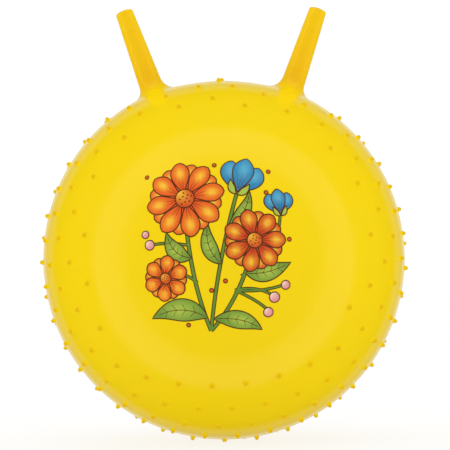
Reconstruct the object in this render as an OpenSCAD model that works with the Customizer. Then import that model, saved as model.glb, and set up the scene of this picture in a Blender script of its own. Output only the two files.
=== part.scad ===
// Hopper ball: an inflated ball with two hollow horns to hold on to, a field of
// massage nubs round its sides and back, and an air valve with a push-in plug.
// Millimetres, +Z up. The smooth front faces -Y, and the ball stands on Z = 0.

/* [Ball] */
// Radius of the blown-up ball, over the smooth skin
ball_r = 250; // [220:1:290]
// Thickness of the skin
wall = 0.7; // [0.6:0.1:2]
// Gap left along a welded seam
seam = 0.1; // [0.05:0.05:0.3]

/* [Nubs] */
// Height of a nub above the skin
nub_h = 5; // [4:0.5:7]
// Radius of a nub at the skin
nub_base_r = 4.2; // [3.5:0.1:6]
// Radius of a nub's round tip
nub_tip_r = 2.9; // [2:0.1:3.2]
// Distance between rows of nubs, along the skin
nub_row_pitch = 47; // [40:1:65]
// Distance between nubs in one row, along the skin
nub_step = 45; // [38:1:60]
// Lift of the axis that the rows run round, above straight ahead, in degrees
nub_axis_lift = 40.5; // [20:0.5:60]
// Turn of that axis to the side, in degrees
nub_axis_turn = -5.5; // [-15:0.5:15]
// Distance from the lowest point of the ball forward to the first row
foot_row = 24; // [20:0.5:28]
// How far the two rear nubs that the ball stands on are pressed flat
foot_press = 0.6; // [0.3:0.1:1.5]

/* [Smooth front] */
// Radius of the smooth round field on the front, along the skin
front_field = 200; // [150:1:260]
// Lift of the middle of that field above straight ahead, in degrees
front_lift = 5.5; // [0:0.5:15]

/* [Horns] */
// Lean of each horn out from upright, in degrees
horn_lean = 19.5; // [12:0.5:28]
// Sideways place of a horn's axis, at the height of the ball's centre
horn_offset = 13; // [5:0.5:20]
// Length of a horn from the skin to the edge of its end
horn_len = 121; // [100:1:150]
// Radius of a horn at its end
horn_end_r = 12; // [9:0.5:14]
// Radius of a horn where it would meet the skin without its flare
horn_root_r = 16.5; // [14.5:0.5:20]
// Thickness of a horn's wall
horn_wall = 2.2; // [1.5:0.1:4]
// Radius of the hollow curve that spreads a horn onto the ball
flare_r = 28; // [18:1:34]
// Radius of the rounded edge round a horn's end
end_edge_r = 3.5; // [1.5:0.5:5]
// Height of the dome on a horn's end
end_dome = 1.5; // [0.5:0.1:3]
// Distance between the moulded rings along a horn, counted from its end
ring_pitch = 30; // [20:1:35]
// Height of a moulded ring
ring_h = 0.4; // [0.2:0.1:0.8]
// Width of a moulded ring
ring_w = 2; // [1:0.2:4]
// Radius of the smooth skin round each horn, along the skin
horn_field = 79; // [60:1:90]

/* [Valve] */
// Radius of the collar's flange, which lies on the skin
flange_r = 17; // [14:0.5:24]
// Height of the flange above the skin
flange_h = 2; // [1.4:0.1:3]
// Radius of the collar's sleeve, which passes through the skin
sleeve_r = 11; // [10.5:0.5:13]
// Depth of the sleeve below the skin
sleeve_depth = 16; // [10:0.5:24]
// Radius of the hole at its mouth
hole_r = 4.6; // [3.5:0.1:6]
// How much narrower the hole is at its inner end
hole_taper = 0.6; // [0.2:0.1:1]
// Radius of the plug's head
head_r = 8.5; // [7:0.1:9.5]
// Thickness of the plug's head
head_h = 2.4; // [1.5:0.1:3]
// Radius of the pull nipple in the middle of the head
nipple_r = 3; // [2:0.1:4]
// Height of the pull nipple above the head
nipple_h = 2; // [1:0.1:2.5]
// Clearance of the plug in the collar
plug_fit = 0.08; // [0.04:0.02:0.2]

/* [Hidden] */
skin_colour = "#f5da14";
horn_colour = "#f7c80c";
collar_colour = "#eec81a";
plug_colour = "#e9e4d2";
ball_fn = 200;
round_fn = 64;
nub_fn = 20;

// Angle in degrees that a length along the skin takes up at the ball's centre
function skin_angle(length) = length / ball_r * 180 / PI;

// Directions are unit vectors from the ball's centre
function aim(lift, turn) = [sin(turn) * cos(lift), -cos(turn) * cos(lift), sin(lift)];
function apart(a, b) = acos(max(-1, min(1, a * b)));
front_axis = aim(front_lift, 0);
valve_axis = aim(0, 180);

// The ball's centre, seen from the point where a horn's axis is level with it
centre_out = -horn_offset * cos(horn_lean);
centre_up = -horn_offset * sin(horn_lean);
// Height along the horn's axis at which the skin lies, a distance out from that axis
function skin_up(out) = centre_up + sqrt(pow(ball_r, 2) - pow(out - centre_out, 2));
horn_foot = skin_up(0);
horn_end = horn_foot + horn_len;

// Where a horn's axis passes through the skin: side -1 is the left, 1 the right
function horn_root(side) = [
    side * (horn_offset + horn_foot * sin(horn_lean)) / ball_r,
    0,
    horn_foot * cos(horn_lean) / ball_r
];

// Rows of nubs are rings round a lifted axis. Row 0 passes just in front of the
// ball's lowest point, row -1 just behind it, and odd rows are half a step over.
row_axis = aim(nub_axis_lift, nub_axis_turn);
row_down = aim(nub_axis_lift - 90, nub_axis_turn);
row_side = cross(row_axis, row_down);
row_angle = skin_angle(nub_row_pitch);
row_zero = 90 + nub_axis_lift - skin_angle(foot_row);
row_first = -floor((180 - row_zero) / row_angle);
row_last = floor(row_zero / row_angle);
function row_polar(row) = row_zero - row * row_angle;
function row_count(row) = max(1, round(360 * sin(row_polar(row)) / skin_angle(nub_step)));
function nub_aim(row, place) =
    let (polar = row_polar(row))
    let (turn = (place + abs(row % 2) / 2) * 360 / row_count(row))
    cos(polar) * row_axis + sin(polar) * (cos(turn) * row_down + sin(turn) * row_side);

// No nub stands on the smooth front, on the horns' flares or round the valve
horn_clear = skin_angle(horn_field);
valve_clear = skin_angle(flange_r + 2 * nub_base_r);
function nub_kept(d) =
    apart(d, front_axis) > skin_angle(front_field)
    && apart(d, valve_axis) > valve_clear
    && apart(d, horn_root(-1)) > horn_clear
    && apart(d, horn_root(1)) > horn_clear;
nub_aims = [
    for (row = [row_first : row_last], place = [0 : row_count(row) - 1])
        let (d = nub_aim(row, place))
        if (nub_kept(d)) d
];

// The ball stands on one nub of row 0 and two nubs of row -1
ball_z = (ball_r + nub_h) * -nub_aim(-1, 0)[2] - foot_press;

// A nub is a cone that ends in a ball, with its foot sunk halfway into the skin
nub_sink = wall / 2;
nub_tip_z = nub_h - nub_tip_r;
shoulder_r = 0.8 * nub_tip_r;
shoulder_z = nub_tip_z + 0.5 * nub_tip_r;
nub_slope = (nub_base_r - shoulder_r) / shoulder_z;

// The side of a horn is a straight taper that runs into the hollow curve of its flare.
// The curve's lowest point lies under the skin even where the ball falls away most.
horn_slope = atan((horn_root_r - horn_end_r) / horn_len);
function horn_r(up) = horn_end_r + (horn_end - up) * tan(horn_slope);
flare_low = skin_up(horn_root_r + flare_r);
flare_up = flare_low + flare_r;
flare_out = horn_r(flare_up) + flare_r / cos(horn_slope);
flare_steps = 8;
under_skin = 4;
horn_low = flare_low - under_skin;
ring_count = floor((horn_len - flare_r) / ring_pitch);
bore_end = horn_end - 2 * horn_wall;
function bore_r(up) = horn_r(up) - horn_wall;
edge_steps = 4;
dome_r = horn_end_r - end_edge_r;
dome_steps = 3;

// Heights along the valve's axis, counted from the ball's centre
flange_top = ball_r + flange_h;
flange_edge = 0.6;
recess_floor = flange_top - head_h;
sleeve_end = ball_r - sleeve_depth;
hole_end_r = hole_r - hole_taper;
plug_nose = 1.5;
head_edge = 0.5;

// Turn a shape that stands along +Z to point along a direction
module point_along(d) {
    rotate([0, acos(d[2]), atan2(d[1], d[0])]) children();
}

module from_centre() {
    translate([0, 0, ball_z]) children();
}

module on_horn(side) {
    from_centre() translate([side * horn_offset, 0, 0]) rotate([0, side * horn_lean, 0]) children();
}

module on_valve() {
    from_centre() point_along(valve_axis) children();
}

// A ball whose poles lie where no nub stands: the smooth front and the valve
module ball(r) {
    on_valve() sphere(r, $fn = ball_fn);
}

module nub() {
    translate([0, 0, ball_r]) rotate_extrude($fn = nub_fn) intersection() {
        union() {
            polygon([
                [0, -nub_sink],
                [nub_base_r + nub_sink * nub_slope, -nub_sink],
                [shoulder_r, shoulder_z],
                [0, shoulder_z]
            ]);
            translate([0, nub_tip_z]) circle(nub_tip_r, $fn = nub_fn);
        }
        translate([0, -nub_sink]) square([2 * nub_base_r, nub_h + 2 * nub_sink]);
    }
}

module ball_skin() {
    color(skin_colour) difference() {
        union() {
            ball(ball_r);
            from_centre() for (d = nub_aims) point_along(d) nub();
        }
        ball(ball_r - wall);
        for (side = [-1, 1])
            on_horn(side) translate([0, 0, horn_low])
                cylinder(r = bore_r(horn_foot), h = 2 * (horn_foot - horn_low), $fn = round_fn);
        on_valve() translate([0, 0, sleeve_end])
            cylinder(r = sleeve_r + seam, h = 2 * sleeve_depth, $fn = round_fn);
        translate([-ball_r, -ball_r, -2 * nub_h])
            cube([2 * ball_r, 2 * ball_r, 2 * nub_h]);
    }
}

// Half outline of a horn: up the flare, the ringed taper, the rounded edge and the dome
flare_points = [
    for (i = [0 : flare_steps])
        let (turn = 270 - i * (90 - horn_slope) / flare_steps)
        [flare_out + flare_r * cos(turn), flare_up + flare_r * sin(turn)]
];
ring_points = [
    for (i = [ring_count : -1 : 1], half = [-1 : 1])
        let (up = horn_end - i * ring_pitch + half * ring_w / 2)
        [horn_r(up) + ring_h * (1 - abs(half)), up]
];
edge_points = [
    for (i = [0 : edge_steps])
        let (turn = i * 90 / edge_steps)
        [dome_r + end_edge_r * cos(turn), horn_end - end_edge_r * (1 - sin(turn))]
];
dome_points = [
    for (i = [1 : dome_steps])
        let (in = i / dome_steps)
        [dome_r * (1 - in), horn_end + end_dome * (1 - pow(1 - in, 2))]
];

module horn(side) {
    color(horn_colour) difference() {
        on_horn(side) rotate_extrude($fn = round_fn) polygon(concat(
            [[0, horn_low], [flare_out, horn_low]],
            flare_points, ring_points, edge_points, dome_points
        ));
        on_horn(side) rotate_extrude($fn = round_fn) polygon([
            [0, horn_low - under_skin],
            [bore_r(horn_low - under_skin), horn_low - under_skin],
            [bore_r(bore_end), bore_end],
            [0, bore_end]
        ]);
        ball(ball_r + seam);
    }
}

module left_horn() {
    horn(-1);
}

module right_horn() {
    horn(1);
}

// The collar's flange lies on the skin, and its sleeve goes through the hole in it
module valve_collar() {
    color(collar_colour) on_valve() difference() {
        union() {
            difference() {
                rotate_extrude($fn = round_fn) polygon([
                    [0, ball_r - flange_h],
                    [flange_r, ball_r - flange_h],
                    [flange_r, flange_top - flange_edge],
                    [flange_r - flange_edge, flange_top],
                    [0, flange_top]
                ]);
                sphere(ball_r + seam, $fn = ball_fn);
            }
            translate([0, 0, sleeve_end])
                cylinder(r = sleeve_r, h = sleeve_depth + flange_h / 2, $fn = round_fn);
        }
        rotate_extrude($fn = round_fn) polygon([
            [0, sleeve_end - plug_nose],
            [hole_end_r, sleeve_end - plug_nose],
            [hole_end_r, sleeve_end],
            [hole_r, recess_floor],
            [head_r + plug_fit, recess_floor],
            [head_r + plug_fit, flange_top + flange_h],
            [0, flange_top + flange_h]
        ]);
    }
}

// The plug's head sits in the collar's recess, and its tapered stem fills the hole
module valve_plug() {
    color(plug_colour) on_valve() rotate_extrude($fn = round_fn) polygon([
        [0, sleeve_end - plug_nose],
        [hole_end_r - plug_fit - plug_nose, sleeve_end - plug_nose],
        [hole_end_r - plug_fit, sleeve_end],
        [hole_r - plug_fit, recess_floor + plug_fit],
        [head_r, recess_floor + plug_fit],
        [head_r, flange_top - head_edge],
        [head_r - head_edge, flange_top],
        [nipple_r, flange_top],
        [nipple_r - head_edge, flange_top + nipple_h],
        [0, flange_top + nipple_h]
    ]);
}

ball_skin();
left_horn();
right_horn();
valve_collar();
valve_plug();
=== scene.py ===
import math

import bpy
import numpy as np
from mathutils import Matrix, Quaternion, Vector, geometry


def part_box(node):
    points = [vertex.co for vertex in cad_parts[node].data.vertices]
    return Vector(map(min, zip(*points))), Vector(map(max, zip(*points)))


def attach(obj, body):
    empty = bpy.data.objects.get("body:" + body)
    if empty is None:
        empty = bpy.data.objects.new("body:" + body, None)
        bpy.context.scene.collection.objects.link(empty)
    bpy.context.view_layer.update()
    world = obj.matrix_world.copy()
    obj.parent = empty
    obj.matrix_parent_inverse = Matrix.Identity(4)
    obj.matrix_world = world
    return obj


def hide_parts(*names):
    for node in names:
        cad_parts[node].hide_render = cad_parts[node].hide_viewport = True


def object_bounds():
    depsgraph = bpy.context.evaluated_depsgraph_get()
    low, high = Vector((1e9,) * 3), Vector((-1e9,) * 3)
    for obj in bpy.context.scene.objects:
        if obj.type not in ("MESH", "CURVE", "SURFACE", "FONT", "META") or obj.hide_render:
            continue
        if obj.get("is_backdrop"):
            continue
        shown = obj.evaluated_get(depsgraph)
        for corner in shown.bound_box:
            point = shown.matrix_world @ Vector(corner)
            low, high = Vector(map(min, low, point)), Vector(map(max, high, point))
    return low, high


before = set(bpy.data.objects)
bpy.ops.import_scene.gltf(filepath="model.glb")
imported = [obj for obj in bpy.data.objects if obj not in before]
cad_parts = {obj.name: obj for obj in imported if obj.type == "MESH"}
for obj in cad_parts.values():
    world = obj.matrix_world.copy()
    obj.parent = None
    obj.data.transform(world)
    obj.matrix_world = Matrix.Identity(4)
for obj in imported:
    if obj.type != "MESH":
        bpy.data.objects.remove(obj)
cad_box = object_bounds()

# The ball's skin is soft vinyl, about 0.7 mm thick. It is spun inside a hot mould in one piece
# with its nubs and horns, and then blown up. The nubs are solid, so their colour is deeper, and
# the mould's parting line runs round the ball in the plane of the horns.
mm = 0.001
tiny = 1e-9
golden_turn = math.pi * (3 - math.sqrt(5))
ball_r = -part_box("ball_skin")[0].y
ball_centre = np.array([0, 0, (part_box("valve_collar")[0].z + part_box("valve_collar")[1].z) / 2])
skin_wall = 0.7 * mm
slope_reach = 0.3 * mm
dip_depth = 4.2 * mm
dip_half_width = 96 * mm
dip_half_depth = 120 * mm
parting_h = 0.25 * mm
parting_half_width = 2 * mm
parting_step = 6 * mm
parting_gap = 2 * mm
ridge_places = (-1, -0.5, 0, 0.5, 1)
nub_h = 5 * mm
nub_tip_r = 2.6 * mm
nub_foot_r = 1.6 * mm
nub_flank = math.radians(20)
nub_sides = 16
nub_arc_steps = 4
nub_apron_r = 8.2 * mm
nub_apron_sides = 12
row_lift = 40.5
row_turn = -5.5
row_pitch = 47 * mm
nub_step = 45 * mm
foot_row = 24 * mm
front_field = 200 * mm
front_lift = 5.5
horn_lean = math.radians(19.5)
horn_offset = 13 * mm
horn_len = 121 * mm
horn_root_r = 16.5 * mm
horn_end_r = 12 * mm
horn_field = 79 * mm
horn_sides = 56
flare_outer = 14 * mm
flare_inner = 18 * mm
flare_front = 21 * mm
valve_clear = 25.4 * mm
valve_hole_r = 11.1 * mm
valve_hole_sides = 40
fill_step = 9 * mm
inside_step = 28 * mm
even_row_share = 0.866
lemon = (0.905, 0.652, 0.001)
nub_gold = (0.80, 0.50, 0.001)


def aim(lift, turn):
    """Direction from the ball's centre, by its lift and its turn from straight ahead in degrees."""
    lift, turn = math.radians(lift), math.radians(turn)
    level = math.cos(lift)
    return np.array([math.sin(turn) * level, -math.cos(turn) * level, math.sin(lift)])


def along_skin(aims, axis):
    """Distance along the skin from an axis to each of these directions."""
    return ball_r * np.arccos(np.clip(aims @ axis, -1, 1))


def unit(vectors):
    """The same directions with a length of 1."""
    return vectors / np.linalg.norm(vectors, axis=-1, keepdims=True)


def swell(share):
    """Height of a smooth swelling, from 1 in its middle to 0 at its half width and beyond."""
    return np.clip(1 - share ** 2, 0, 1) ** 2


def skin_at(aims):
    """Points of the blown-up skin, which dips between the horns and rises at the parting line."""
    x, y, z = aims.T * ball_r
    dip = swell((x / dip_half_width) ** 2) * swell(y / dip_half_depth) * (z > 0)
    out = ball_r - dip_depth * dip + parting_h * swell(y / parting_half_width)
    return ball_centre + aims * out[:, None]


def sides_of(axes):
    """Two directions square to each axis, which make a right-handed set with it."""
    nearly_upright = np.abs(axes[..., 2:]) > 0.9
    start = np.where(nearly_upright, np.array([1.0, 0, 0]), np.array([0.0, 0, 1]))
    one = unit(np.cross(start, axes))
    return one, np.cross(axes, one)


def skin_normals(aims):
    """Outward normals of the skin, from its slope over a short reach to each side."""
    slopes = []
    for way in sides_of(aims):
        nudge = slope_reach / ball_r * way
        slopes.append(skin_at(unit(aims + nudge)) - skin_at(unit(aims - nudge)))
    return unit(np.cross(*slopes))


def circle_of(count):
    """Cosines and sines of a full turn in even steps, as columns."""
    turns = np.arange(count) * 2 * math.pi / count
    return np.cos(turns)[:, None], np.sin(turns)[:, None]


def ring_on_skin(axis, radius, count):
    """Directions to points evenly round an axis, at a distance from it along the skin."""
    one, two = sides_of(axis)
    cosines, sines = circle_of(count)
    spread = radius / ball_r
    return math.cos(spread) * axis + math.sin(spread) * (cosines * one + sines * two)


def horn_start(side):
    """Where a horn's axis crosses the ball's middle level, from the ball's centre."""
    return np.array([side * horn_offset, 0, 0])


def horn_axes(side):
    """A horn's axis, the way square to it that leads off the other horn, and the way across both."""
    axis = np.array([side * math.sin(horn_lean), 0, math.cos(horn_lean)])
    away = np.array([side * math.cos(horn_lean), 0, -math.sin(horn_lean)])
    return axis, away, np.array([0, side, 0])


def horn_ring(side, reach):
    """Directions to the ring on the skin that lies this far out from a horn's axis."""
    axis, away, across = horn_axes(side)
    cosines, sines = circle_of(horn_sides)
    start = horn_start(side) + reach * (cosines * away + sines * across)
    rise = start @ axis
    up = np.sqrt(rise ** 2 - (start * start).sum(1) + ball_r ** 2) - rise
    return unit(start + up[:, None] * axis)


def flare_size(cosines):
    """How far a horn's flare reaches, by the cosine of the turn from its outer side."""
    sideways = np.where(cosines > 0, flare_outer, flare_inner)
    return sideways * cosines ** 2 + flare_front * (1 - cosines ** 2)


def horn_foot_ring(side):
    """Directions to the ring where a horn's flare runs out into the skin."""
    return horn_ring(side, horn_root_r + flare_size(circle_of(horn_sides)[0]))


valve_axis = np.array([0.0, 1, 0])
front_axis = aim(front_lift, 0)
horn_roots = {side: horn_ring(side, 0.001 * mm).mean(0) for side in (-1, 1)}
row_axis = aim(row_lift, row_turn)
row_down = aim(row_lift - 90, row_turn)
row_side = np.cross(row_axis, row_down)
row_zero = math.radians(90 + row_lift) - foot_row / ball_r
row_angle = row_pitch / ball_r
first_row = -int((math.pi - row_zero) / row_angle)
last_row = int(row_zero / row_angle)
nub_axes = []
for row in range(first_row, last_row + 1):
    polar = row_zero - row * row_angle
    places = max(1, round(2 * math.pi * math.sin(polar) * ball_r / nub_step))
    for place in range(places):
        turn = (place + row % 2 / 2) * 2 * math.pi / places
        level = math.cos(turn) * row_down + math.sin(turn) * row_side
        nub_axes.append(math.cos(polar) * row_axis + math.sin(polar) * level)
nub_axes = np.array(nub_axes)
smooth_fields = [(front_axis, front_field), (valve_axis, valve_clear)]
smooth_fields += [(root, horn_field) for root in horn_roots.values()]
for axis, field in smooth_fields:
    nub_axes = nub_axes[along_skin(nub_axes, axis) > field]

# Half outline of a nub from foot to tip: distance from its axis, height, slope of its normal
nub_foot_start = nub_tip_r + nub_foot_r + (nub_h - nub_tip_r - nub_foot_r) * math.sin(nub_flank)
nub_foot_start /= math.cos(nub_flank)
nub_bend = math.pi / 2 - nub_flank
nub_outline = []
for step in range(nub_arc_steps + 1):
    bend = step / nub_arc_steps * nub_bend
    out = nub_foot_start - nub_foot_r * math.sin(bend)
    nub_outline.append((out, nub_foot_r * (1 - math.cos(bend)), math.pi / 2 - bend))
for step in range(nub_arc_steps):
    bend = nub_flank + step / nub_arc_steps * nub_bend
    out = nub_tip_r * math.cos(bend)
    nub_outline.append((out, nub_h - nub_tip_r * (1 - math.sin(bend)), bend))


def spread_over_ball(step):
    """Directions spread evenly over the ball, about this far apart along the skin."""
    count = int(4 * math.pi * ball_r ** 2 / (even_row_share * step ** 2))
    place = np.arange(count) + 0.5
    level = 1 - 2 * place / count
    turn = place * golden_turn
    width = np.sqrt(1 - level ** 2)
    return np.stack([width * np.cos(turn), level, width * np.sin(turn)], 1)


def outside_holes(aims, room):
    """Which directions lie clear of the holes for the horns and the valve."""
    clear = along_skin(aims, valve_axis) > valve_hole_r + room
    for side in (-1, 1):
        axis, away, across = horn_axes(side)
        start = aims * ball_r - horn_start(side)
        out, back = start @ away, start @ across
        distance = np.hypot(out, back)
        edge = horn_root_r + flare_size(out / np.maximum(distance, tiny))
        clear &= (distance > edge + room) | (start @ axis < 0)
    return clear


def clear_of_nubs(aims, room):
    """Which directions lie clear of the points laid round each nub."""
    return np.all(nub_axes @ aims.T < math.cos((nub_apron_r + room) / ball_r), axis=0)


def join_up(flat, outline, tolerance):
    """Triangles that join the points of a plane, only inside the outline if there is one."""
    outlines = [outline] if outline else []
    inside_only = 1 if outline else 0
    spots = [Vector(spot) for spot in flat]
    made = geometry.delaunay_2d_cdt(spots, [], outlines, inside_only, tolerance)
    triangles, first_points = made[2:4]
    return [[first_points[corner][0] for corner in triangle] for triangle in triangles]


def span(groups, ring_count):
    """Triangles that join groups of points on the skin, and leave the first groups open as rings."""
    ring_of = [k if k < ring_count else -1 for k, group in enumerate(groups) for _ in group]
    aims = np.concatenate(groups)
    triangles = join_up(aims[:, [0, 2]] / (1 - aims[:, 1:2]), [], tiny)
    return [t for t in triangles if ring_of[t[0]] < 0 or len({ring_of[k] for k in t}) > 1]


def add_mesh(name, points, faces):
    """A mesh object in the scene."""
    mesh = bpy.data.meshes.new(name)
    mesh.from_pydata(np.asarray(points).tolist(), [], faces)
    piece = bpy.data.objects.new(name, mesh)
    bpy.context.scene.collection.objects.link(piece)
    return piece


def build(name, points, faces, normals):
    """A smooth mesh object with its own normals."""
    piece = add_mesh(name, points, faces)
    piece.data.polygons.foreach_set("use_smooth", [True] * len(faces))
    piece.data.normals_split_custom_set_from_vertices(np.asarray(normals).tolist())
    return piece


def note_on_points(piece, name, values):
    """Keeps one number for each point of a mesh, for its material to read."""
    attribute = piece.data.attributes.new(name, "FLOAT", "POINT")
    attribute.data.foreach_set("value", np.asarray(values, np.float32))


def band(low, high):
    """Four-sided faces between two rings of point numbers, seen from outside the upper one."""
    count = len(low)
    return [[low[k], low[(k + 1) % count], high[(k + 1) % count], high[k]] for k in range(count)]


hole_rings = [ring_on_skin(valve_axis, valve_hole_r, valve_hole_sides)]
hole_rings += [horn_foot_ring(side) for side in (-1, 1)]
nub_feet = [ring_on_skin(axis, nub_foot_start, nub_sides) for axis in nub_axes]
nub_aprons = [ring_on_skin(axis, nub_apron_r, nub_apron_sides) for axis in nub_axes]
parting_turns = np.arange(0, 2 * math.pi, parting_step / ball_r)
parting = []
for share in ridge_places:
    aside = np.full_like(parting_turns, share * parting_half_width / ball_r)
    parting.append(unit(np.stack([np.cos(parting_turns), aside, np.sin(parting_turns)], 1)))
parting = np.concatenate(parting)
parting = parting[outside_holes(parting, parting_gap) & clear_of_nubs(parting, parting_gap)]
fill = spread_over_ball(fill_step)
fill = fill[np.abs(fill[:, 1]) * ball_r > parting_half_width + fill_step / 2]
fill = fill[outside_holes(fill, fill_step / 2) & clear_of_nubs(fill, fill_step / 2)]
inside_fill = spread_over_ball(inside_step)
inside_fill = inside_fill[outside_holes(inside_fill, inside_step / 2)]

groups = [*hole_rings, *nub_feet, *nub_aprons, parting, fill]
starts = np.cumsum([0] + [len(group) for group in groups])
aims = np.concatenate(groups)
points = [skin_at(aims)]
normals = [skin_normals(aims)]
deeper = [np.zeros(len(aims))]
faces = span(groups, len(hole_rings) + len(nub_feet))
first_nub_face = len(faces)
count = len(aims)
cosines, sines = circle_of(nub_sides)
for axis, ring_start in zip(nub_axes, starts[len(hole_rings):]):
    one, two = sides_of(axis)
    away = cosines * one + sines * two
    below = list(range(ring_start, ring_start + nub_sides))
    for out, height, slope in nub_outline[1:]:
        points.append(skin_at(ring_on_skin(axis, out, nub_sides)) + height * axis)
        normals.append(math.cos(slope) * away + math.sin(slope) * axis)
        deeper.append(np.full(nub_sides, height / nub_h))
        above = list(range(count, count + nub_sides))
        faces += band(below, above)
        below = above
        count += nub_sides
    points.append(skin_at(axis[None]) + nub_h * axis)
    normals.append(axis[None])
    deeper.append(np.ones(1))
    faces += [[below[k], below[(k + 1) % nub_sides], count] for k in range(nub_sides)]
    count += 1
nub_faces = slice(first_nub_face, len(faces))

inside_groups = [*hole_rings, inside_fill]
inside_starts = count + np.cumsum([0] + [len(group) for group in inside_groups])
inside_aims = np.concatenate(inside_groups)
points.append(skin_at(inside_aims) - skin_wall * inside_aims)
normals.append(-inside_aims)
deeper.append(np.zeros(len(inside_aims)))
inside_faces = span(inside_groups, len(hole_rings))
faces += [[count + k for k in reversed(face)] for face in inside_faces]
for ring, start, inside_start in zip(hole_rings, starts, inside_starts):
    rim = [list(range(k, k + len(ring))) for k in (inside_start, start)]
    faces += [face[::-1] for face in band(*rim)]

# The nubs that the ball stands on are pressed flat by its weight
points, normals = np.concatenate(points), np.concatenate(normals)
pressed = points[:, 2] < 0
points[pressed, 2] = 0
normals[pressed] = (0, 0, -1)
ball = build("ball_moulding", points, faces, normals)
note_on_points(ball, "deeper", np.concatenate(deeper))

# Moulded vinyl is never quite even: its tone drifts slowly and its surface has a fine grain
noise_detail = 3
vinyl_ior = 1.45
vinyl_tone_drift = 0.12
vinyl_gloss_drift = 0.05
vinyl_grain_strength = 0.06
vinyl_grain_h = 0.2 * mm
skin_roughness = 0.18
skin_gloss = 0.3
nub_roughness = 0.3
nub_gloss = 0.08
skin_drift_size = 90 * mm
skin_grain_size = 0.9 * mm
moulded = bpy.data.node_groups.new("moulded_vinyl", "ShaderNodeTree")
for socket in ("Drift Size", "Grain Size"):
    moulded.interface.new_socket(socket, in_out="INPUT", socket_type="NodeSocketFloat")
for socket in ("Drift", "Grain"):
    moulded.interface.new_socket(socket, in_out="OUTPUT", socket_type="NodeSocketFloat")
group_in = moulded.nodes.new("NodeGroupInput")
group_out = moulded.nodes.new("NodeGroupOutput")
place = moulded.nodes.new("ShaderNodeTexCoord")
for name in ("Drift", "Grain"):
    noise = moulded.nodes.new("ShaderNodeTexNoise")
    noise.inputs["Detail"].default_value = noise_detail
    scale = moulded.nodes.new("ShaderNodeMath")
    scale.operation = "DIVIDE"
    scale.inputs[0].default_value = 1
    moulded.links.new(group_in.outputs[name + " Size"], scale.inputs[1])
    moulded.links.new(scale.outputs[0], noise.inputs["Scale"])
    moulded.links.new(place.outputs["Object"], noise.inputs["Vector"])
    moulded.links.new(noise.outputs["Fac"], group_out.inputs[name])


def moulded_finish(name, ior, gloss_level, roughness, gloss_drift, grain_strength, grain_h,
                   drift_size, grain_size):
    """A material with the drift in its gloss and the grain on its surface, and its group node."""
    material = bpy.data.materials.new(name)
    material.use_nodes = True
    nodes, links = material.node_tree.nodes, material.node_tree.links
    shader = nodes["Principled BSDF"]
    shader.inputs["IOR"].default_value = ior
    shader.inputs["Specular IOR Level"].default_value = gloss_level
    uneven = nodes.new("ShaderNodeGroup")
    uneven.node_tree = moulded
    uneven.inputs["Drift Size"].default_value = drift_size
    uneven.inputs["Grain Size"].default_value = grain_size
    gloss = nodes.new("ShaderNodeMapRange")
    gloss.inputs["To Min"].default_value = roughness - gloss_drift
    gloss.inputs["To Max"].default_value = roughness + gloss_drift
    links.new(uneven.outputs["Drift"], gloss.inputs["Value"])
    links.new(gloss.outputs["Result"], shader.inputs["Roughness"])
    bump = nodes.new("ShaderNodeBump")
    bump.inputs["Strength"].default_value = grain_strength
    bump.inputs["Distance"].default_value = grain_h
    links.new(uneven.outputs["Grain"], bump.inputs["Height"])
    links.new(bump.outputs["Normal"], shader.inputs["Normal"])
    return material, uneven


def vinyl(name, pale, deep, roughness, gloss_level, drift_size, grain_size):
    """Satin vinyl whose colour goes from pale to deep with the note "deeper" on its points."""
    material, uneven = moulded_finish(
        name, vinyl_ior, gloss_level, roughness, vinyl_gloss_drift, vinyl_grain_strength,
        vinyl_grain_h, drift_size, grain_size)
    nodes, links = material.node_tree.nodes, material.node_tree.links
    # The note "deeper" follows the vinyl's thickness on the skin, nubs and horns; it also carries
    # the painted sheen on the horns' sides and the painted shade on the valve's collar and plug
    thickness_and_painted_light = nodes.new("ShaderNodeAttribute")
    thickness_and_painted_light.attribute_name = "deeper"
    tone = nodes.new("ShaderNodeMath")
    tone.operation = "MULTIPLY_ADD"
    tone.inputs[1].default_value = vinyl_tone_drift
    tone.use_clamp = True
    links.new(uneven.outputs["Drift"], tone.inputs[0])
    links.new(thickness_and_painted_light.outputs["Fac"], tone.inputs[2])
    colour = nodes.new("ShaderNodeMix")
    colour.data_type = "RGBA"
    colour.inputs["A"].default_value = (*pale, 1)
    colour.inputs["B"].default_value = (*deep, 1)
    links.new(tone.outputs[0], colour.inputs["Factor"])
    links.new(colour.outputs["Result"], nodes["Principled BSDF"].inputs["Base Color"])
    return material


skin_vinyl = vinyl("skin_vinyl", lemon, nub_gold, skin_roughness, skin_gloss,
                   skin_drift_size, skin_grain_size)
nub_vinyl = vinyl("nub_vinyl", lemon, nub_gold, nub_roughness, nub_gloss,
                  skin_drift_size, skin_grain_size)
ball.data.materials.append(skin_vinyl)
ball.data.materials.append(nub_vinyl)
finishes = np.zeros(len(faces), np.int32)
finishes[nub_faces] = 1
ball.data.polygons.foreach_set("material_index", finishes)
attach(ball, "ball")
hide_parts("ball_skin")

# The horns are hollow and come out of the same mould as the ball. Their walls are thicker, which
# makes them golden, each spreads onto the ball in a flare, and fine rings go round it for grip.
horn_wall = 2.2 * mm
horn_end_wall = 2 * horn_wall
horn_edge_r = 3.5 * mm
horn_edge_steps = 5
horn_dome = 1.5 * mm
horn_dome_steps = 3
ring_pitch = 30 * mm
ring_h = 0.4 * mm
ring_half_width = 1.2 * mm
horn_rings = (3, 2, 1)
flare_steps = 18
flare_pull = 0.58
horn_parting_h = 0.2 * mm
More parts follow.
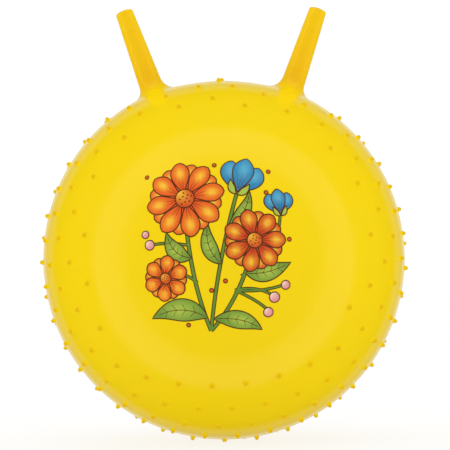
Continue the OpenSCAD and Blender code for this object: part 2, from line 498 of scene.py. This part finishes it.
# Share by which each horn's colour is painted paler at its outer and inner sides: a painted sheen
horn_side_painted_sheen = 0.4
horn_deep_low = 1.0
horn_deep_end = 0.6
horn_gold = (0.88, 0.515, 0.001)
horn_end_up = math.sqrt(ball_r ** 2 - (horn_offset * math.cos(horn_lean)) ** 2)
horn_end_up += horn_len - horn_offset * math.sin(horn_lean)
horn_vinyl = vinyl("horn_vinyl", lemon, horn_gold, skin_roughness, skin_gloss,
                   skin_drift_size, skin_grain_size)


def horn_r(up):
    """Radius of a horn's tapered side, this far up its axis."""
    return horn_end_r + (horn_end_up - up) * (horn_root_r - horn_end_r) / horn_len


def horn_row(side, radius, up):
    """A ring of points round a horn's axis, this far out from it and this far up it."""
    axis, away, across = horn_axes(side)
    cosines, sines = circle_of(horn_sides)
    middle = ball_centre + horn_start(side) + up * axis
    return middle + radius * (cosines * away + sines * across)


def height_on_horn(side, points):
    """How far up a horn's axis these points lie, as a column."""
    return (points - ball_centre - horn_start(side)) @ horn_axes(side)[0][:, None]


def horn_foot_up(side):
    """How far up its axis a horn comes out of the skin."""
    return height_on_horn(side, skin_at(horn_roots[side][None]))[0, 0]


def flare_rows(side):
    """Rows of points up a horn's flare, with how deep their colour is."""
    foot_aims = horn_foot_ring(side)
    foot = skin_at(foot_aims)
    foot_normals = skin_normals(foot_aims)
    corner = skin_at(horn_ring(side, horn_root_r))
    top_up = height_on_horn(side, corner) + flare_size(circle_of(horn_sides)[0])
    top = horn_row(side, horn_r(top_up), top_up)
    run_in = corner - foot
    run_in -= (run_in * foot_normals).sum(1, keepdims=True) * foot_normals
    pull_low = foot + flare_pull * run_in
    pull_high = top + flare_pull * (corner - top)
    for t in np.linspace(0, 1, flare_steps + 1):
        low = (1 - t) ** 3 * foot + 3 * t * (1 - t) ** 2 * pull_low
        high = 3 * t * t * (1 - t) * pull_high + t ** 3 * top
        yield low + high, horn_deep_low * t * t * (3 - 2 * t)


def side_rows(side):
    """Rows of points over the rings on a horn's side, with how deep their colour is."""
    for ring in horn_rings:
        for share in ridge_places:
            up = horn_end_up - ring * ring_pitch + share * ring_half_width
            fade = (horn_deep_end - horn_deep_low) * (up - horn_foot_up(side)) / horn_len
            yield horn_row(side, horn_r(up) + ring_h * swell(share), up), horn_deep_low + fade


def end_rows(side):
    """Rows of points over a horn's rounded edge and its domed end, with how deep their colour is."""
    for step in range(horn_edge_steps + 1):
        bend = step / horn_edge_steps * math.pi / 2
        out = horn_end_r - horn_edge_r * (1 - math.cos(bend))
        yield horn_row(side, out, horn_end_up - horn_edge_r * (1 - math.sin(bend))), horn_deep_end
    for step in range(1, horn_dome_steps):
        left = 1 - step / horn_dome_steps
        out = (horn_end_r - horn_edge_r) * left
        yield horn_row(side, out, horn_end_up + horn_dome * (1 - left ** 2)), horn_deep_end


def ringed_faces(rows, sides):
    """Rings of point numbers for rows of points, and the faces between one ring and the next."""
    rings = np.arange(rows * sides).reshape(rows, sides).tolist()
    return rings, [face for low, high in zip(rings, rings[1:]) for face in band(low, high)]


for side, name in ((-1, "left_horn"), (1, "right_horn")):
    axis, away, across = horn_axes(side)
    cosines, sines = circle_of(horn_sides)
    out_round = cosines * away + sines * across
    outer, depths = zip(*flare_rows(side), *side_rows(side), *end_rows(side))
    outer = np.array(outer)
    parting_line = [0, horn_sides // 2]
    outer[1:, parting_line] += horn_parting_h * out_round[parting_line]
    up_slope = np.gradient(outer, axis=0)
    round_slope = np.roll(outer, -1, 1) - np.roll(outer, 1, 1)
    outer_normals = unit(np.cross(round_slope, up_slope))
    foot_aims = horn_foot_ring(side)
    outer_normals[0] = skin_normals(foot_aims)

    bore_end = horn_end_up - horn_end_wall
    bore_foot_aims = horn_ring(side, horn_r(horn_foot_up(side)) - horn_wall)
    inner = np.array([
        horn_row(side, horn_r(bore_end) - horn_wall, bore_end),
        skin_at(bore_foot_aims) - skin_wall * bore_foot_aims,
        skin_at(foot_aims) - skin_wall * foot_aims,
    ])
    inner_normals = np.stack([-out_round, -out_round, -foot_aims])
    rows = np.concatenate([inner, outer])
    row_normals = np.concatenate([inner_normals, outer_normals])
    tips = [horn_row(side, 0, up)[0] for up in (bore_end, horn_end_up + horn_dome)]
    points = np.concatenate([rows.reshape(-1, 3), tips])
    normals = np.concatenate([row_normals.reshape(-1, 3), [-axis, axis]])
    rings, faces = ringed_faces(len(rows), horn_sides)
    bore_tip, horn_tip = len(points) - 2, len(points) - 1
    for k in range(horn_sides):
        after = (k + 1) % horn_sides
        faces.append([rings[0][after], rings[0][k], bore_tip])
        faces.append([rings[-1][k], rings[-1][after], horn_tip])
    horn = build(name + "_moulding", points, faces, normals)
    # Painted sheen: the horn's colour is made paler towards its outer and inner sides, where the
    # parting line runs, for the light those sides catch; its front and back stay deep
    depths = np.array([*np.zeros(len(inner)), *depths]) * (1 - horn_side_painted_sheen * cosines ** 2)
    note_on_points(horn, "deeper", [*depths.T.ravel(), 0, horn_deep_end])
    horn.data.materials.append(horn_vinyl)
    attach(horn, "ball")
    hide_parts(name)

# The print on the smooth front is screen ink, laid on the vinyl in thin flat layers: stems and
# leaves first, then petals with a bright glow in them, each with its brown outline over it. The
# spray is drawn flat, in millimetres, and then laid on the ball.
print_lift = 4.9
print_turn = -2.4
print_axis = aim(print_lift, print_turn)
print_right = unit(np.cross((0, 0, 1), print_axis))
print_up = np.cross(print_axis, print_right)
ink_step = 4.5
ink_tolerance = 1e-6
ink_bed = 0.03 * mm
ink_layers = {
    "stem": 0.10 * mm,
    "leaf": 0.15 * mm,
    "back": 0.20 * mm,
    "petal": 0.26 * mm,
    "heart": 0.32 * mm,
}
line_lift = 0.03 * mm
vein_lift = line_lift / 2
outline_w = 1.5
disc_outline_w = 1.35
stem_outline_w = 1.2
vein_w = 0.9
side_vein_w = 0.63
ink_thin_from = 0.35
ink_thin_most = 0.06
ink_points, ink_normals, ink_colours, ink_faces = [], [], [], []


def srgb(red, green, blue):
    """Linear colour from the 0 to 255 values of a colour chart."""
    parts = np.array([red, green, blue]) / 255
    return np.where(parts > 0.04045, ((parts + 0.055) / 1.055) ** 2.4, parts / 12.92)


ink_brown = srgb(84, 38, 14)
ink_orange = srgb(228, 82, 14)
ink_red = srgb(206, 56, 12)
ink_amber = srgb(250, 198, 52)
ink_blue = srgb(28, 124, 172)
ink_sky = srgb(84, 172, 204)
ink_green = srgb(96, 140, 46)
ink_lime = srgb(168, 190, 70)
ink_pink = srgb(222, 132, 142)
ink_cream = srgb(248, 236, 206)


def on_front(flat, height):
    """Places points of the flat design on the skin, and gives the skin's normals there."""
    away = (flat[:, :1] * print_right + flat[:, 1:] * print_up) * mm
    distance = np.linalg.norm(away, axis=1, keepdims=True)
    spread = distance / ball_r
    aims = np.cos(spread) * print_axis + np.sin(spread) * away / np.maximum(distance, tiny)
    return ball_centre + aims * (ball_r + height), aims


def add_ink(flat, faces, edges, height, colours):
    """A thin closed patch of ink: its face, its back on the skin, and the walls along its edges."""
    start, count = sum(len(p) for p in ink_points), len(flat)
    for level in (height, ink_bed):
        placed, aims = on_front(flat, level)
        ink_points.append(placed)
        ink_normals.append(aims)
        ink_colours.append(np.broadcast_to(colours, (count, 3)))
    ink_faces.extend([start + k for k in face] for face in faces)
    ink_faces.extend([start + count + k for k in reversed(face)] for face in faces)
    for edge in edges:
        for a, b in zip(edge, edge[1:] + edge[:1]):
            ink_faces.append([start + a, start + count + a, start + count + b, start + b])


def fill_in(outline, height, shade):
    """A patch of ink inside an outline, with points inside it so that its colour can fade."""
    low, high = outline.min(0), outline.max(0)
    columns, lines = (np.arange(low[k] + ink_step / 2, high[k], ink_step) for k in (0, 1))
    grid = np.stack(np.meshgrid(columns, lines), -1).reshape(-1, 2)
    after = np.roll(outline, -1, 0)
    x, y = grid[:, :1], grid[:, 1:]
    between = (outline[:, 1] > y) != (after[:, 1] > y)
    rise = np.where(after[:, 1] == outline[:, 1], 1, after[:, 1] - outline[:, 1])
    meets = outline[:, 0] + (y - outline[:, 1]) / rise * (after[:, 0] - outline[:, 0])
    inside = (between & (x < meets)).sum(1) % 2 == 1
    gaps = np.linalg.norm(grid[:, None] - outline[None], axis=2).min(1)
    flat = np.concatenate([outline, grid[inside & (gaps > ink_step / 2)]])
    edge = list(range(len(outline)))
    add_ink(flat, join_up(flat, edge, ink_tolerance), [edge], height, shade(flat))


def aside_of(ahead):
    """The directions a quarter turn to the left of these."""
    return ahead[..., ::-1] * (-1, 1)


def heading(degrees):
    """Direction on the flat design, by its turn from the right."""
    turn = math.radians(degrees)
    return np.array([math.cos(turn), math.sin(turn)])


def draw_line(line, width, height, colour, closed=False):
    """A line of ink along these points. Its width is one number, or one for each point."""
    slope = np.roll(line, -1, 0) - np.roll(line, 1, 0) if closed else np.gradient(line, axis=0)
    across = aside_of(unit(slope)) * np.reshape(width, (-1, 1)) / 2
    flat, count = np.concatenate([line + across, line - across]), len(line)
    steps = range(count if closed else count - 1)
    faces = [[k, count + k, count + (k + 1) % count, (k + 1) % count] for k in steps]
    left, right = list(range(count))[::-1], list(range(count, 2 * count))
    add_ink(flat, faces, [right, left] if closed else [right + left], height, colour)


def curve(start, pull, end, count=25):
    """Points of a plain curve that leaves its start towards pull and comes from there to its end."""
    t = np.linspace(0, 1, count)[:, None]
    return (1 - t) ** 2 * np.array(start) + 2 * t * (1 - t) * np.array(pull) + t * t * np.array(end)


def blade(rib, half_width, lean, bluntness):
    """Outline of a leaf or petal round its rib. A lean over 1 puts its widest place near the tip."""
    t = np.linspace(0, 1, len(rib))
    width = half_width * np.clip(np.sin(math.pi * t ** lean), 0, 1)[:, None] ** bluntness
    across = aside_of(unit(np.gradient(rib, axis=0))) * width
    return np.concatenate([rib - across, (rib + across)[-2:0:-1]])


def glow_along(rib, spread, edge_colour, glow_colour, middle=0.5, reach=0.3):
    """Shade that glows round one place on a rib and goes over to another colour away from it.

    The place, middle, and the length of the glow, reach, are shares of the rib. Spread is the
    width of the glow.
    """
    centre = rib[int(middle * (len(rib) - 1))]
    run = unit(rib[-1] - rib[0])
    length = np.linalg.norm(rib[-1] - rib[0]) * reach

    def shade(flat):
        ahead = (flat - centre) @ run
        aside = (flat - centre) @ aside_of(run)
        glow = np.exp(-(ahead / length) ** 2 - (aside / spread) ** 2)[:, None]
        return edge_colour + (glow_colour - edge_colour) * glow

    return shade


def plain(colour):
    """Shade of one colour all over."""
    return lambda flat: np.broadcast_to(colour, (len(flat), 3))


vein_from = 2
vein_reach = 0.55
vein_bow_start = 0.2
vein_taper = 1.1


def draw_blade(rib, half_width, layer, shade, lean=1.0, bluntness=1.0, veins=0):
    """A leaf or petal: its patch, its veins, which thin out past its middle, and its outline."""
    height = ink_layers[layer]
    outline = blade(rib, half_width, lean, bluntness)
    fill_in(outline, height, shade)
    vein_rib = rib[vein_from:int(len(rib) * vein_reach)]
    bow = np.linspace(vein_bow_start, 1, len(vein_rib))[:, None]
    across = aside_of(unit(np.gradient(vein_rib, axis=0))) * bow
    for vein in range(veins):
        off_rib = (vein - (veins - 1) / 2) * half_width / 2
        line = vein_rib + across * off_rib
        draw_line(line, vein_w * (vein_taper - bow), height + vein_lift, ink_brown)
    draw_line(outline, outline_w, height + line_lift, ink_brown, closed=True)


leaf_glow = 0.8
leaf_lean = 0.85
leaf_vein_places = range(5, 20, 4)
leaf_vein_slant = 0.8
leaf_vein_start = 2


def draw_leaf(start, pull, end, half_width):
    """A leaf, with a vein along its rib and pairs of veins to its sides."""
    height = ink_layers["leaf"] + vein_lift
    rib = curve(start, pull, end)
    shade = glow_along(rib, half_width * leaf_glow, ink_green, ink_lime)
    draw_blade(rib, half_width, "leaf", shade, lean=leaf_lean)
    for place in leaf_vein_places:
        ahead = unit(rib[place + 1] - rib[place])
        for side in (-1, 1):
            slant = ahead * leaf_vein_slant + aside_of(ahead) * side
            tip = rib[place] + slant * half_width / 2
            vein = curve(rib[place], rib[place] + ahead * leaf_vein_start, tip, count=5)
            draw_line(vein, side_vein_w, height, ink_brown)
    draw_line(rib[1:-3], vein_w, height, ink_brown)


disc_least_sides = 12
disc_sides_per_mm = 2.4


def draw_disc(centre, radius, height, shade, outlined=True):
    """A round patch of ink, with a brown outline or without."""
    cosines, sines = circle_of(max(disc_least_sides, int(radius * disc_sides_per_mm)))
    rim = np.array(centre) + radius * np.concatenate([cosines, sines], 1)
    fill_in(rim, height, shade)
    if outlined:
        draw_line(rim, disc_outline_w, height + line_lift, ink_brown, closed=True)


def draw_bead(centre, radius, layer, edge_colour, glow_colour, spread, reach):
    """A disc that glows at its upper left. Spread is a share of its radius."""
    upper_left = radius * np.array([-1, 1])
    rib = np.array([centre + upper_left, centre - upper_left])
    shade = glow_along(rib, radius * spread, edge_colour, glow_colour, middle=0, reach=reach)
    draw_disc(centre, radius, ink_layers[layer], shade)


def draw_stem(start, pull, end, width):
    """A green stem with a brown edge."""
    line = curve(start, pull, end)
    draw_line(line, width + 2 * stem_outline_w, ink_layers["stem"], ink_brown)
    draw_line(line, width, ink_layers["stem"] + line_lift, ink_green)


seed_count = 9
# Shares of a flower's radius, of a petal's half width and of the heart's radius
petal_foot = 0.16
petal_pull = 0.6
petal_bend = 0.06
back_petal_reach = 0.93
heart_share = 0.24
petal_glow = 0.45
seed_field = 0.74
seed_share = 0.09


def draw_flower(centre, radius, petals, turn, half_width, edge_colour):
    """An open flower: petals behind, petals in front of the gaps between them, and its heart."""
    centre = np.array(centre)
    glow_w = half_width * petal_glow
    for layer, shift, reach in (("back", 0.5, back_petal_reach), ("petal", 0, 1)):
        for place in range(petals):
            ahead = heading(turn + (place + shift) * 360 / petals)
            pull = ahead * petal_pull + aside_of(ahead) * petal_bend
            rib = centre + radius * curve(ahead * petal_foot, pull, ahead * reach)
            shade = glow_along(rib, glow_w, edge_colour, ink_amber, middle=0.66, reach=0.2)
            draw_blade(rib, half_width, layer, shade, lean=1.45, bluntness=0.62, veins=2)
    heart_r = radius * heart_share
    draw_bead(centre, heart_r, "heart", ink_red, ink_amber, spread=0.7, reach=0.5)
    seed_height = ink_layers["heart"] + line_lift
    for seed in range(seed_count):
        out = heart_r * seed_field * math.sqrt((seed + 0.5) / seed_count)
        spot = centre + out * heading(seed * math.degrees(golden_turn))
        draw_disc(spot, heart_r * seed_share, seed_height, plain(ink_brown), outlined=False)


bell_swing = 24
cup_below = 3
# Shares of a bell's length and of its half width
bell_pull = 0.6
bell_bend = 0.144
bell_side_short = 0.1
cup_reach = 0.3
bell_glow = 0.6
cup_spread = 0.9
cup_pull = 0.8
cup_half_width = 0.32


def draw_bell(foot, length, way, half_width):
    """A half-open bell flower: two side petals, one in front, and a green cup at its foot."""
    foot = np.array(foot)
    glow_w = half_width * bell_glow
    for layer, side in (("back", -1), ("back", 1), ("petal", 0)):
        ahead = heading(way + side * bell_swing)
        pull = ahead * bell_pull + aside_of(ahead) * side * bell_bend
        rib = foot + length * curve((0, 0), pull, ahead * (1 - abs(side) * bell_side_short))
        shade = glow_along(rib, glow_w, ink_blue, ink_sky, middle=0.66, reach=0.24)
        draw_blade(rib, half_width, layer, shade, lean=1.2, bluntness=0.8, veins=3)
    ahead = heading(way)
    for side in (-1, 1):
        aside = aside_of(ahead) * side * half_width * cup_spread
        tip = foot + ahead * length * cup_reach + aside
        rib = curve(foot - ahead * cup_below, foot + aside * cup_pull, tip)
        draw_blade(rib, half_width * cup_half_width, "heart", plain(ink_lime))


stem_foot = (-8, -116)
side_stem_w = 2.0
draw_stem(stem_foot, (-34, -46), (-40, 50), 3.4)
draw_stem(stem_foot, (34, -70), (50, 4), 3.2)
draw_stem(stem_foot, (2, -30), (27, 62), 3.0)
for start, pull, end in (((-24, -52), (-44, -34), (-66, -44)), ((24, -62), (54, -56), (74, -70)),
                         ((32, -44), (80, -20), (84, 34)), ((-34, -4), (-64, 2), (-84, -2)),
                         ((24, -62), (56, -66), (88, -56)), ((24, -62), (54, -76), (66, -88))):
    draw_stem(start, pull, end, side_stem_w)
draw_leaf((-12, -98), (-48, -76), (-88, -100), 15)
draw_leaf((-4, -100), (36, -96), (60, -116), 12)
draw_leaf((-31, -20), (-58, -18), (-64, 14), 11)
draw_leaf((8, -28), (-16, -10), (-10, 26), 10)
draw_leaf((38, -40), (66, -44), (98, -26), 12)
draw_leaf((16, 20), (42, 34), (44, 68), 9)
draw_flower((-40, 58), 52, 8, 10, 12.5, ink_orange)
draw_flower((50, 2), 41, 7, 0, 11, ink_red)
draw_flower((-66, -46), 30, 6, 20, 9.5, ink_orange)
draw_bell((28, 66), 50, 74, 14)
draw_bell((85, 38), 34, 98, 9.5)
for x, y, berry_r in ((76, -72, 7), (91, -56, 6), (68, -92, 6.5), (-87, -2, 6.5), (-93, 12, 5)):
    draw_bead(np.array([x, y]), berry_r, "petal", ink_pink, ink_cream, spread=0.9, reach=0.45)
dot_r = 2.6
for spot in ((66, 66), (70, 96), (-2, 104), (-6, -62), (12, -50), (-94, 92), (-38, -108), (96, 4)):
    draw_disc(spot, dot_r, ink_layers["petal"], plain(ink_orange))

design = build("front_print", np.concatenate(ink_points), ink_faces, np.concatenate(ink_normals))
paint = design.data.attributes.new("ink", "FLOAT_COLOR", "POINT")
ink_rgba = np.concatenate([np.concatenate(ink_colours), np.ones((len(design.data.vertices), 1))], 1)
paint.data.foreach_set("color", ink_rgba.astype(np.float32).ravel())
ink, uneven = moulded_finish(
    "screen_ink", ior=1.48, gloss_level=0.25, roughness=0.42, gloss_drift=0.06,
    grain_strength=0.05, grain_h=0.1 * mm, drift_size=14 * mm, grain_size=0.7 * mm)
nodes, links = ink.node_tree.nodes, ink.node_tree.links
pigment = nodes.new("ShaderNodeAttribute")
pigment.attribute_name = "ink"
thinness = nodes.new("ShaderNodeMapRange")
thinness.inputs["From Min"].default_value = ink_thin_from
thinness.inputs["To Max"].default_value = ink_thin_most
links.new(uneven.outputs["Drift"], thinness.inputs["Value"])
cover = nodes.new("ShaderNodeMix")
cover.data_type = "RGBA"
cover.inputs["B"].default_value = (*lemon, 1)
links.new(thinness.outputs["Result"], cover.inputs["Factor"])
links.new(pigment.outputs["Color"], cover.inputs["A"])
links.new(cover.outputs["Result"], nodes["Principled BSDF"].inputs["Base Color"])
design.data.materials.append(ink)
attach(design, "ball")

# The valve's collar is a thicker ring of soft vinyl, moulded by itself and welded into a hole in
# the skin at the back. Its tapered hole grips the plug, and a recess takes in the plug's head.
flange_r = 17 * mm
flange_h = 2 * mm
flange_edge = 1.2 * mm
sleeve_r = 11 * mm
sleeve_depth = 16 * mm
sleeve_edge = 0.8 * mm
hole_r = 4.6 * mm
hole_edge = 0.3 * mm
hole_end_r = 4.0 * mm
hole_end_edge = 0.4 * mm
head_r = 8.5 * mm
head_h = 2.4 * mm
recess_edge = 0.35 * mm
sharp_edge = 0.05 * mm
weld_edge = 0.02 * mm
weld_gap = 0.1 * mm
plug_fit = 0.08 * mm
flange_top = ball_r + flange_h
recess_floor = flange_top - head_h
recess_r = head_r + plug_fit
sleeve_end = ball_r - sleeve_depth
valve_sides = 64
edge_steps = 5
collar_pale = (0.86, 0.58, 0.006)
collar_painted_shade = (0.80, 0.46, 0.002)


def skin_up(out):
    """How far the collar's underside is from the ball's centre, this far out from its own axis."""
    return math.sqrt((ball_r + weld_gap) ** 2 - out ** 2)


def turned(name, corners):
    """A round piece on the valve's axis, from the corners of its half outline.

    A corner is its distance from the axis, its distance from the ball's centre, the size of its
    rounded edge, and how deep its colour is. The outline goes round with the piece on its left,
    and a piece without a hole has corners on the axis at both ends.
    """
    spots = np.array([corner[:2] for corner in corners])
    runs = unit(np.roll(spots, -1, 0) - spots)
    outline, slopes, depths = [], [], []
    for k, (from_axis, _, edge, deep) in enumerate(corners):
        for t in np.linspace(0, 1, edge_steps if from_axis else 0):
            outline.append(spots[k] - (1 - t) ** 2 * edge * runs[k - 1] + t * t * edge * runs[k])
            run_out, run_up = unit((1 - t) * runs[k - 1] + t * runs[k])
            slopes.append((run_up, -run_out))
            depths.append(deep)
    cosines, sines = circle_of(valve_sides)
    round_out = cosines * np.array([0, 0, 1.0]) + sines * np.array([1.0, 0, 0])
    rows = [ball_centre + out * round_out + up * valve_axis for out, up in outline]
    normals = [out * round_out + up * valve_axis for out, up in slopes]
    rings, faces = ringed_faces(len(rows), valve_sides)
    if spots[0, 0]:
        faces += band(rings[-1], rings[0])
    else:
        faces += [rings[0][::-1], rings[-1]]
    piece = build(name, np.concatenate(rows), faces, np.concatenate(normals))
    note_on_points(piece, "deeper", np.repeat(depths, valve_sides))
    return piece


# Each corner's last number paints shade into the collar's colour: deepest under the flange, at the
# weld and on the recess floor, palest on the recess rim
collar = turned("valve_collar_moulding", (
    (hole_end_r, sleeve_end, hole_end_edge, 0.6),
    (sleeve_r, sleeve_end, sleeve_edge, 0.3),
    (sleeve_r, skin_up(sleeve_r), weld_edge, 0.8),
    (flange_r, skin_up(flange_r), sharp_edge, 1),
    (flange_r, flange_top, flange_edge, 0.5),
    (recess_r, flange_top, recess_edge, 0),
    (recess_r, recess_floor, sharp_edge, 0.9),
    (hole_r, recess_floor, hole_edge, 0.6),
))
collar.data.materials.append(vinyl(
    "collar_vinyl", collar_pale, collar_painted_shade, roughness=0.42, gloss_level=0.4,
    drift_size=12 * mm, grain_size=0.6 * mm))
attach(collar, "ball")
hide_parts("valve_collar")

# The plug is a push-in stopper of harder off-white plastic, moulded with a tapered stem, a thin
# head and a small nipple to pull it by. Friction alone holds it in the collar.
plug_nose = 1.5 * mm
plug_nose_edge = 0.5 * mm
stem_r = hole_r - plug_fit
stem_end_r = hole_end_r - plug_fit
stem_edge = 0.1 * mm
head_under = recess_floor + plug_fit
head_under_edge = 0.2 * mm
head_edge = 0.5 * mm
nipple_r = 3 * mm
nipple_h = 2 * mm
nipple_taper = 0.3 * mm
nipple_foot_edge = 0.4 * mm
nipple_edge = 0.7 * mm
plug_pale = (0.82, 0.78, 0.65)
plug_painted_shade = (0.66, 0.59, 0.42)
# Each corner's last number paints shade into the plug's colour: deepest at the nipple's foot, along
# the stem and under the head, palest on the nipple's top
plug = turned("valve_plug_moulding", (
    (0, sleeve_end - plug_nose, 0, 0),
    (stem_end_r - plug_nose, sleeve_end - plug_nose, plug_nose_edge, 0.3),
    (stem_end_r, sleeve_end, plug_nose_edge, 0.2),
    (stem_r, head_under, stem_edge, 0.6),
    (head_r, head_under, head_under_edge, 0.5),
    (head_r, flange_top, head_edge, 0.4),
    (nipple_r, flange_top, nipple_foot_edge, 0.7),
    (nipple_r - nipple_taper, flange_top + nipple_h, nipple_edge, 0),
    (0, flange_top + nipple_h, 0, 0),
))
plug.data.materials.append(vinyl(
    "plug_plastic", plug_pale, plug_painted_shade, roughness=0.4, gloss_level=0.5,
    drift_size=6 * mm, grain_size=0.4 * mm))
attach(plug, "plug")
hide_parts("valve_plug")

# The stage is a white floor that fades into a white surround, with even light from all round, a
# soft box overhead and one low on each side. Cloths out of sight show in the gloss alone, and the
# camera stands level with the ball. Its sizes are in metres.
floor_r = 12.0
floor_sides = 48
floor_fade_from = 0.55
floor_fade_to = 1.6
floor_glow = 0.8
floor_white = (0.93, 0.93, 0.93, 1)
surround_light = 1.03
cloth_sides = 64
cloth_r = 1.4
front_cloth_r = 2.3
cloth_eye_r = 0.02
front_cloth_at = -1.2
side_cloth_from = -0.2
back_cloth_from = 1.2
far_cloth_at = 2.6
box_behind = 0.1
overhead_up = 2.6
overhead_w = 2.4
overhead_watts = 7
side_box_away = 2.2
side_box_up = 0.12
side_box_w = 1.6
side_box_h = 0.24
side_box_watts = 4.5
camera_away = 12 * ball_r
camera_focus_px = 2160
image_px = 450
ball_at_px = (223.6, 258.5)
camera_roll = math.radians(-0.7)
sensor_mm = 36

cosines, sines = circle_of(floor_sides)
floor_rim = np.concatenate([floor_r * cosines, floor_r * sines, 0 * sines], 1)
floor = add_mesh("floor", floor_rim, [list(range(floor_sides))])
floor_paper = bpy.data.materials.new("floor_paper")
floor_paper.use_nodes = True
nodes, links = floor_paper.node_tree.nodes, floor_paper.node_tree.links
nodes.clear()
place = nodes.new("ShaderNodeTexCoord")
distance = nodes.new("ShaderNodeVectorMath")
distance.operation = "LENGTH"
links.new(place.outputs["Object"], distance.inputs[0])
fade = nodes.new("ShaderNodeMapRange")
fade.interpolation_type = "SMOOTHSTEP"
fade.inputs["From Min"].default_value = floor_fade_from
fade.inputs["From Max"].default_value = floor_fade_to
fade.inputs["To Min"].default_value = floor_glow
links.new(distance.outputs["Value"], fade.inputs["Value"])
paper = nodes.new("ShaderNodeBsdfDiffuse")
paper.inputs["Color"].default_value = floor_white
glow = nodes.new("ShaderNodeEmission")
blend = nodes.new("ShaderNodeMixShader")
links.new(fade.outputs["Result"], blend.inputs["Fac"])
links.new(paper.outputs[0], blend.inputs[1])
links.new(glow.outputs[0], blend.inputs[2])
links.new(blend.outputs[0], nodes.new("ShaderNodeOutputMaterial").inputs["Surface"])
floor.data.materials.append(floor_paper)
floor.visible_glossy = False
floor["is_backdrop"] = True

world = bpy.data.worlds.new("white_surround")
bpy.context.scene.world = world
world.use_nodes = True
surround = world.node_tree.nodes["Background"]
surround.inputs["Color"].default_value = (1, 1, 1, 1)
surround.inputs["Strength"].default_value = surround_light
world.cycles.sampling_method = "NONE"


def soft_box(name, place, width, height, watts):
    """A large rectangular lamp that faces the ball."""
    lamp = bpy.data.lights.new(name, "AREA")
    lamp.shape = "RECTANGLE"
    lamp.size, lamp.size_y, lamp.energy = width, height, watts
    box = bpy.data.objects.new(name, lamp)
    box.location = place
    box.rotation_euler = (Vector(ball_centre) - Vector(place)).to_track_quat("-Z", "Y").to_euler()
    box.visible_glossy = False
    bpy.context.scene.collection.objects.link(box)


def gloss_cloth(name, rings, shade):
    """A round cloth hung out of sight, which shows in the gloss of the vinyl and nowhere else.

    It spans two rings round the line of sight, each with its radius and how far it is behind the
    ball's centre. A shade of 0 is black and 1 is white.
    """
    cosines, sines = circle_of(cloth_sides)
    rows = [np.concatenate([radius * cosines, radius * sines, 0 * sines + behind], 1)
            for radius, behind in rings]
    cloth = add_mesh(name, np.concatenate(rows), ringed_faces(len(rows), cloth_sides)[1])
    cloth.location = ball_centre
    cloth.rotation_euler = (-math.pi / 2, 0, 0)
    for kind in ("camera", "diffuse", "transmission", "volume_scatter", "shadow"):
        setattr(cloth, "visible_" + kind, False)
    dye = bpy.data.materials.new(name)
    dye.use_nodes = True
    nodes, links = dye.node_tree.nodes, dye.node_tree.links
    nodes.clear()
    tone = nodes.new("ShaderNodeEmission")
    tone.inputs["Color"].default_value = (shade, shade, shade, 1)
    links.new(tone.outputs[0], nodes.new("ShaderNodeOutputMaterial").inputs["Surface"])
    cloth.data.materials.append(dye)
    cloth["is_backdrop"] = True


gloss_cloth("side_cloth", ((cloth_r, side_cloth_from), (cloth_r, back_cloth_from)), shade=0.0)
gloss_cloth("back_cloth", ((cloth_r, back_cloth_from), (cloth_r, far_cloth_at)), shade=0.3)
gloss_cloth("far_cloth", ((cloth_eye_r, far_cloth_at), (cloth_r, far_cloth_at)), shade=0.7)
gloss_cloth("front_cloth", ((cloth_eye_r, front_cloth_at), (front_cloth_r, front_cloth_at)),
            shade=0.15)
soft_box("overhead_box", (0, box_behind, overhead_up), overhead_w, overhead_w, overhead_watts)
for side, name in ((-1, "left_box"), (1, "right_box")):
    place = (side * side_box_away, box_behind, side_box_up)
    soft_box(name, place, side_box_w, side_box_h, side_box_watts)

camera_data = bpy.data.cameras.new("camera")
camera_data.sensor_width = sensor_mm
camera_data.lens = camera_focus_px / image_px * sensor_mm
camera = bpy.data.objects.new("camera", camera_data)
camera.location = (0, -camera_away, ball_centre[2])
look = Vector((image_px / 2 - ball_at_px[0], camera_focus_px, ball_at_px[1] - image_px / 2))
camera.rotation_mode = "QUATERNION"
camera.rotation_quaternion = look.to_track_quat("-Z", "Y") @ Quaternion((0, 0, 1), camera_roll)
bpy.context.scene.collection.objects.link(camera)
bpy.context.scene.camera = camera
bpy.context.scene.view_settings.view_transform = "Standard"

boxes = {"cad": cad_box, "visual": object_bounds()}
{name: [list(corner) for corner in box] for name, box in boxes.items()}
